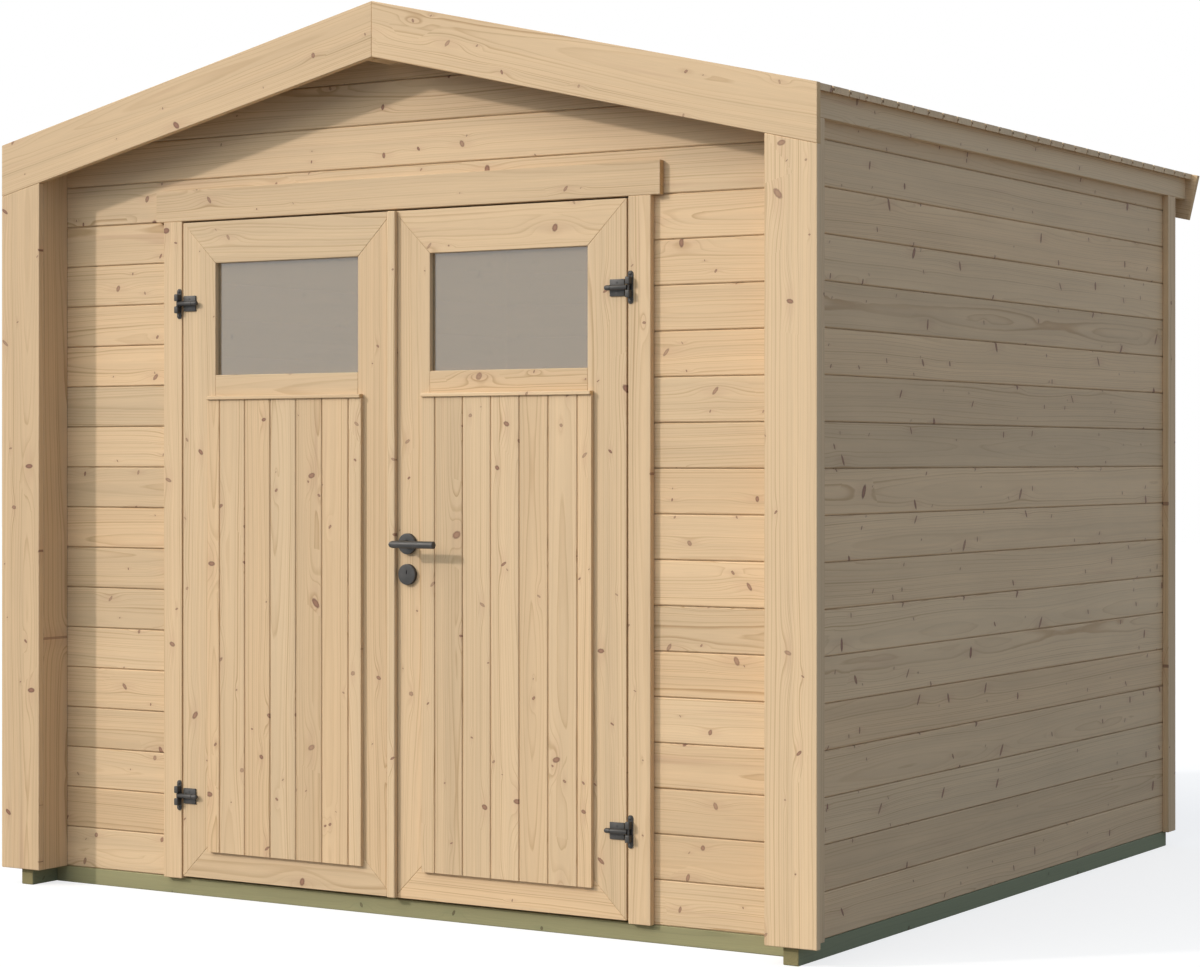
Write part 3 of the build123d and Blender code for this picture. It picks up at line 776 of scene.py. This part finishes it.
jambShapes = []
for side in (-1, 1):
    for z in hingeHeights:
        doorwayEdge = abs(jambHigh.x) - hinge["plateWidth"]
        plateX = side * (doorwayEdge + hinge["plateWidth"] / 2)
        jambShapes.append(stadium((plateX, leafFace, z), hinge["plateWidth"], hinge["plateHeight"],
                                  hinge["plateThickness"], hinge["plateEdge"]))
        for end in (-1, 1):
            screwZ = z + end * (hinge["plateHeight"] / 2 - hinge["plateWidth"] / 2)
            jambShapes.append(dome((plateX, leafFace - hinge["plateThickness"], screwZ), -yDir, hinge["screwRadius"]))
            half, slot = hinge["blockHeight"] / 2, hinge["slot"] / 2
            ends = sorted((z + end * slot, z + end * half))
            x = side * swing.x
            jambShapes.append(block((x - hinge["blockWidth"] / 2, swing.y - hinge["blockFront"], ends[0]),
                                    (x + hinge["blockWidth"] / 2, leafFace - 0.0005, ends[1]), hinge["blockEdge"]))
        jambShapes.append(turned([(0, -slot), (hinge["pinRadius"], -slot), (hinge["pinRadius"], slot), (0, slot)],
                                 (side * swing.x, swing.y, z), zDir, 16))
fit(cast("jamb_hinge_blocks", jambShapes), "shed", "black_ironmongery", "jamb_hinges")

for side, name in ((-1, "left"), (1, "right")):
    low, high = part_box(f"{name}_leaf_hinges")
    shapes = []
    for z in hingeHeights:
        inner = (high.x if side < 0 else low.x) + side * hinge["armReach"]
        outer = inner + side * hinge["leafPlate"]
        plateX = sorted((inner, outer))
        half, plateFace = hinge["leafPlate"] / 2, leafFace - hinge["leafPlateThickness"]
        shapes.append(block((plateX[0], plateFace, z - half), (plateX[1], leafFace, z + half), 0.0009, 2))
        radius, waist = hinge["armRadius"], hinge["armRadius"] * hinge["waist"]
        length = abs(side * swing.x - inner) + hinge["armReach"]
        tip = length - 0.0055
        arm = [(0, 0.0), (radius * 0.9, 0.0), (radius, 0.0008), (radius, length - 0.019),
               (radius, length - 0.0188), (waist, length - 0.0185), (waist, length - 0.0172),
               (radius, length - 0.0168), (radius, tip), (waist, tip + 0.0032), (radius * 0.5, tip + 0.005),
               (0, length)]
        shapes.append(turned(arm, (side * (swing.x - hinge["armStart"]), swing.y, z), -side * xDir, 28))
        for corner in (-1, 1):
            screw = Vector(((inner + outer) / 2, plateFace, z + corner * half * 0.62))
            shapes.append(dome(screw, -yDir, hinge["leafScrewRadius"], 0.25))
    fit(cast(f"{name}_hinge_arms", shapes), f"{name}_leaf", "black_ironmongery", f"{name}_leaf_hinges")

lever = {"radius": 0.0095, "length": 0.126, "standoff": 0.066, "edge": 0.0012, "segments": 48}
roses = {"radius": 0.027, "thickness": 0.010, "edge": 0.0016, "boreEdge": 0.0006, "drop": 0.079, "play": 0.0003,
         "slitWidth": 0.0025, "slitHeight": 0.010, "slitDepth": 0.004, "slitRise": 0.006}
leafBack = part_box("left_leaf_stiles")[1].y


def leverArm(face, out):
    # neck and arm of one round bar, mitred at the elbow
    neck, reach, edge = out * yDir, xDir * lever["length"], lever["edge"]
    start = Vector((leverPivot.x, face, leverPivot.z)) + neck * roses["play"]
    elbow = start + neck * lever["standoff"]
    stations = ((start, xDir, 1.0), (elbow, xDir - neck, 1.0), (elbow + reach - xDir * edge, -neck, 1.0),
                (elbow + reach, -neck, 1.0 - edge / lever["radius"]))
    shape = bmesh.new()
    rings = []
    for centre, level, share in stations:
        angles = [2 * math.pi * step / lever["segments"] for step in range(lever["segments"])]
        rings.append([shape.verts.new(centre + (level * math.cos(a) + zDir * math.sin(a)) * lever["radius"] * share)
                      for a in angles])
    for first, second in zip(rings, rings[1:]):
        for step in range(lever["segments"]):
            after = (step + 1) % lever["segments"]
            shape.faces.new([first[step], first[after], second[after], second[step]])
    shape.faces.new(rings[0])
    shape.faces.new(rings[-1])
    return shape


fit(cast("lever_pair", [leverArm(leafFace, -1), leverArm(leafBack, 1)], 14), "lever", "black_ironmongery", "lever")


def roseProfile(inner):
    radius, top, rounded, lip = roses["radius"], roses["thickness"], roses["edge"], roses["boreEdge"]
    profile = [(radius, 0.0), (radius, top - rounded)]
    for step in range(1, 4):
        angle = math.pi / 2 * step / 4
        profile.append((radius - rounded * (1 - math.cos(angle)), top - rounded * (1 - math.sin(angle))))
    profile.append((radius - rounded, top))
    if inner == 0:
        return [(0, 0.0), *profile, (0, top)]
    return [(inner, 0.0), *profile, (inner + lip, top), (inner, top - lip), (inner, 0.0)]


roseShapes = []
for face, out in ((leafFace, -1), (leafBack, 1)):
    centre = Vector((leverPivot.x, face, leverPivot.z))
    roseShapes.append(turned(roseProfile(lever["radius"] + roses["play"]), centre, out * yDir, 56))
    roseShapes.append(turned(roseProfile(0), centre - zDir * roses["drop"], out * yDir, 56))
rosePiece = cast("lock_roses_turned", roseShapes, 30)
slits = []
for face, out in ((leafFace - roses["thickness"], -1), (leafBack + roses["thickness"], 1)):
    z = leverPivot.z - roses["drop"] + roses["slitRise"]
    x, y = leverPivot.x, sorted((face - out * roses["slitDepth"], face + out * roses["slitDepth"]))
    slits.append(block((x - roses["slitWidth"] / 2, y[0], z - roses["slitHeight"] / 2),
                       (x + roses["slitWidth"] / 2, y[1], z + roses["slitHeight"] / 2), 0.0003, 1))
slitTool = cast("slitTool", slits)
cutter = rosePiece.modifiers.new("keyholes", "BOOLEAN")
cutter.object = slitTool
cutter.operation = "DIFFERENCE"
cutter.solver = "EXACT"
settle(rosePiece)
bpy.data.objects.remove(slitTool)
smoothByAngle(rosePiece.data, 30)
fit(rosePiece, "right_leaf", "black_ironmongery", "lock_roses")
print("hinges, lever and roses made")

# Panes keep the solid's shape
for side in ("left", "right"):
    glass = nodes[f"{side}_leaf_glass"].data
    glass.materials.clear()
    glass.materials.append(pane)


# Stage, light and camera

def showsAsBackground(tree):
    path = addNode(tree, "ShaderNodeLightPath")
    seen = calc(tree, "MAXIMUM", path.outputs["Is Camera Ray"], path.outputs["Is Glossy Ray"])
    return calc(tree, "MAXIMUM", seen, path.outputs["Is Transmission Ray"])


stage = {"halfSize": 30.0, "bounce": (0.28, 0.265, 0.235), "glow": 0.74, "shadowTone": 0.33}
floorMesh = bpy.data.meshes.new("studioFloor")
half = stage["halfSize"]
floorMesh.from_pydata([(-half, -half, 0), (half, -half, 0), (half, half, 0), (-half, half, 0)], [], [(0, 1, 2, 3)])
studioFloor = newPiece("studioFloor", floorMesh)
floorFinish = bpy.data.materials.new("pale_studio_floor")
floorFinish.use_nodes = True
tree = floorFinish.node_tree
tree.nodes.remove(tree.nodes["Principled BSDF"])
bounce = addNode(tree, "ShaderNodeBsdfDiffuse")
bounce.inputs["Color"].default_value = (*stage["bounce"], 1.0)
pale = addNode(tree, "ShaderNodeBsdfDiffuse")
pale.inputs["Color"].default_value = (stage["shadowTone"],) * 3 + (1.0,)
glow = addNode(tree, "ShaderNodeEmission")
glow.inputs["Strength"].default_value = stage["glow"]
shown = addNode(tree, "ShaderNodeAddShader")
feed(tree, pale.outputs[0], shown.inputs[0])
feed(tree, glow.outputs[0], shown.inputs[1])
choose = addNode(tree, "ShaderNodeMixShader")
feed(tree, showsAsBackground(tree), choose.inputs[0])
feed(tree, bounce.outputs[0], choose.inputs[1])
feed(tree, shown.outputs[0], choose.inputs[2])
feed(tree, choose.outputs[0], tree.nodes["Material Output"].inputs["Surface"])
floorMesh.materials.append(floorFinish)

light = {  # strength, colour, size in degrees, direction of travel
    "key": (1.50, (1.0, 0.907, 0.856), 3.0, (0.925, 1.0, -0.685)),
    "frontFill": (1.70, (1.0, 0.95, 0.80), 62.0, (0.5, 1.0, -1.0)),
}
sky = (0.342, 0.413, 0.519)
for name, (strength, colour, size, travel) in light.items():
    lamp = bpy.data.lights.new(name, "SUN")
    lamp.energy = strength
    lamp.color = colour
    lamp.angle = math.radians(size)
    lampObject = bpy.data.objects.new(name, lamp)
    lampObject.rotation_euler = Vector(travel).to_track_quat("-Z", "Y").to_euler()
    bpy.context.scene.collection.objects.link(lampObject)
world = bpy.data.worlds.new("studio")
bpy.context.scene.world = world
world.use_nodes = True
tree = world.node_tree
daylight = tree.nodes["Background"]
daylight.inputs["Color"].default_value = (*sky, 1.0)
white = addNode(tree, "ShaderNodeBackground")
white.inputs["Color"].default_value = (1.0, 1.0, 1.0, 1.0)
choose = addNode(tree, "ShaderNodeMixShader")
feed(tree, showsAsBackground(tree), choose.inputs[0])
feed(tree, daylight.outputs[0], choose.inputs[1])
feed(tree, white.outputs[0], choose.inputs[2])
feed(tree, choose.outputs[0], tree.nodes["World Output"].inputs["Surface"])

view = {"place": (4.296, -7.1295, 1.191), "turn": 31.71, "lens": 84.48, "shiftY": -0.0210}
camera = bpy.data.cameras.new("camera")
camera.sensor_width = 36.0
camera.lens = view["lens"]
camera.shift_y = view["shiftY"]
camera.clip_end = 200.0
cameraObject = bpy.data.objects.new("camera", camera)
cameraObject.location = view["place"]
cameraObject.rotation_euler = (math.radians(90), 0, math.radians(view["turn"]))
bpy.context.scene.collection.objects.link(cameraObject)
bpy.context.scene.camera = cameraObject
bpy.context.scene.view_settings.view_transform = "Standard"
print("stage, light and camera set")
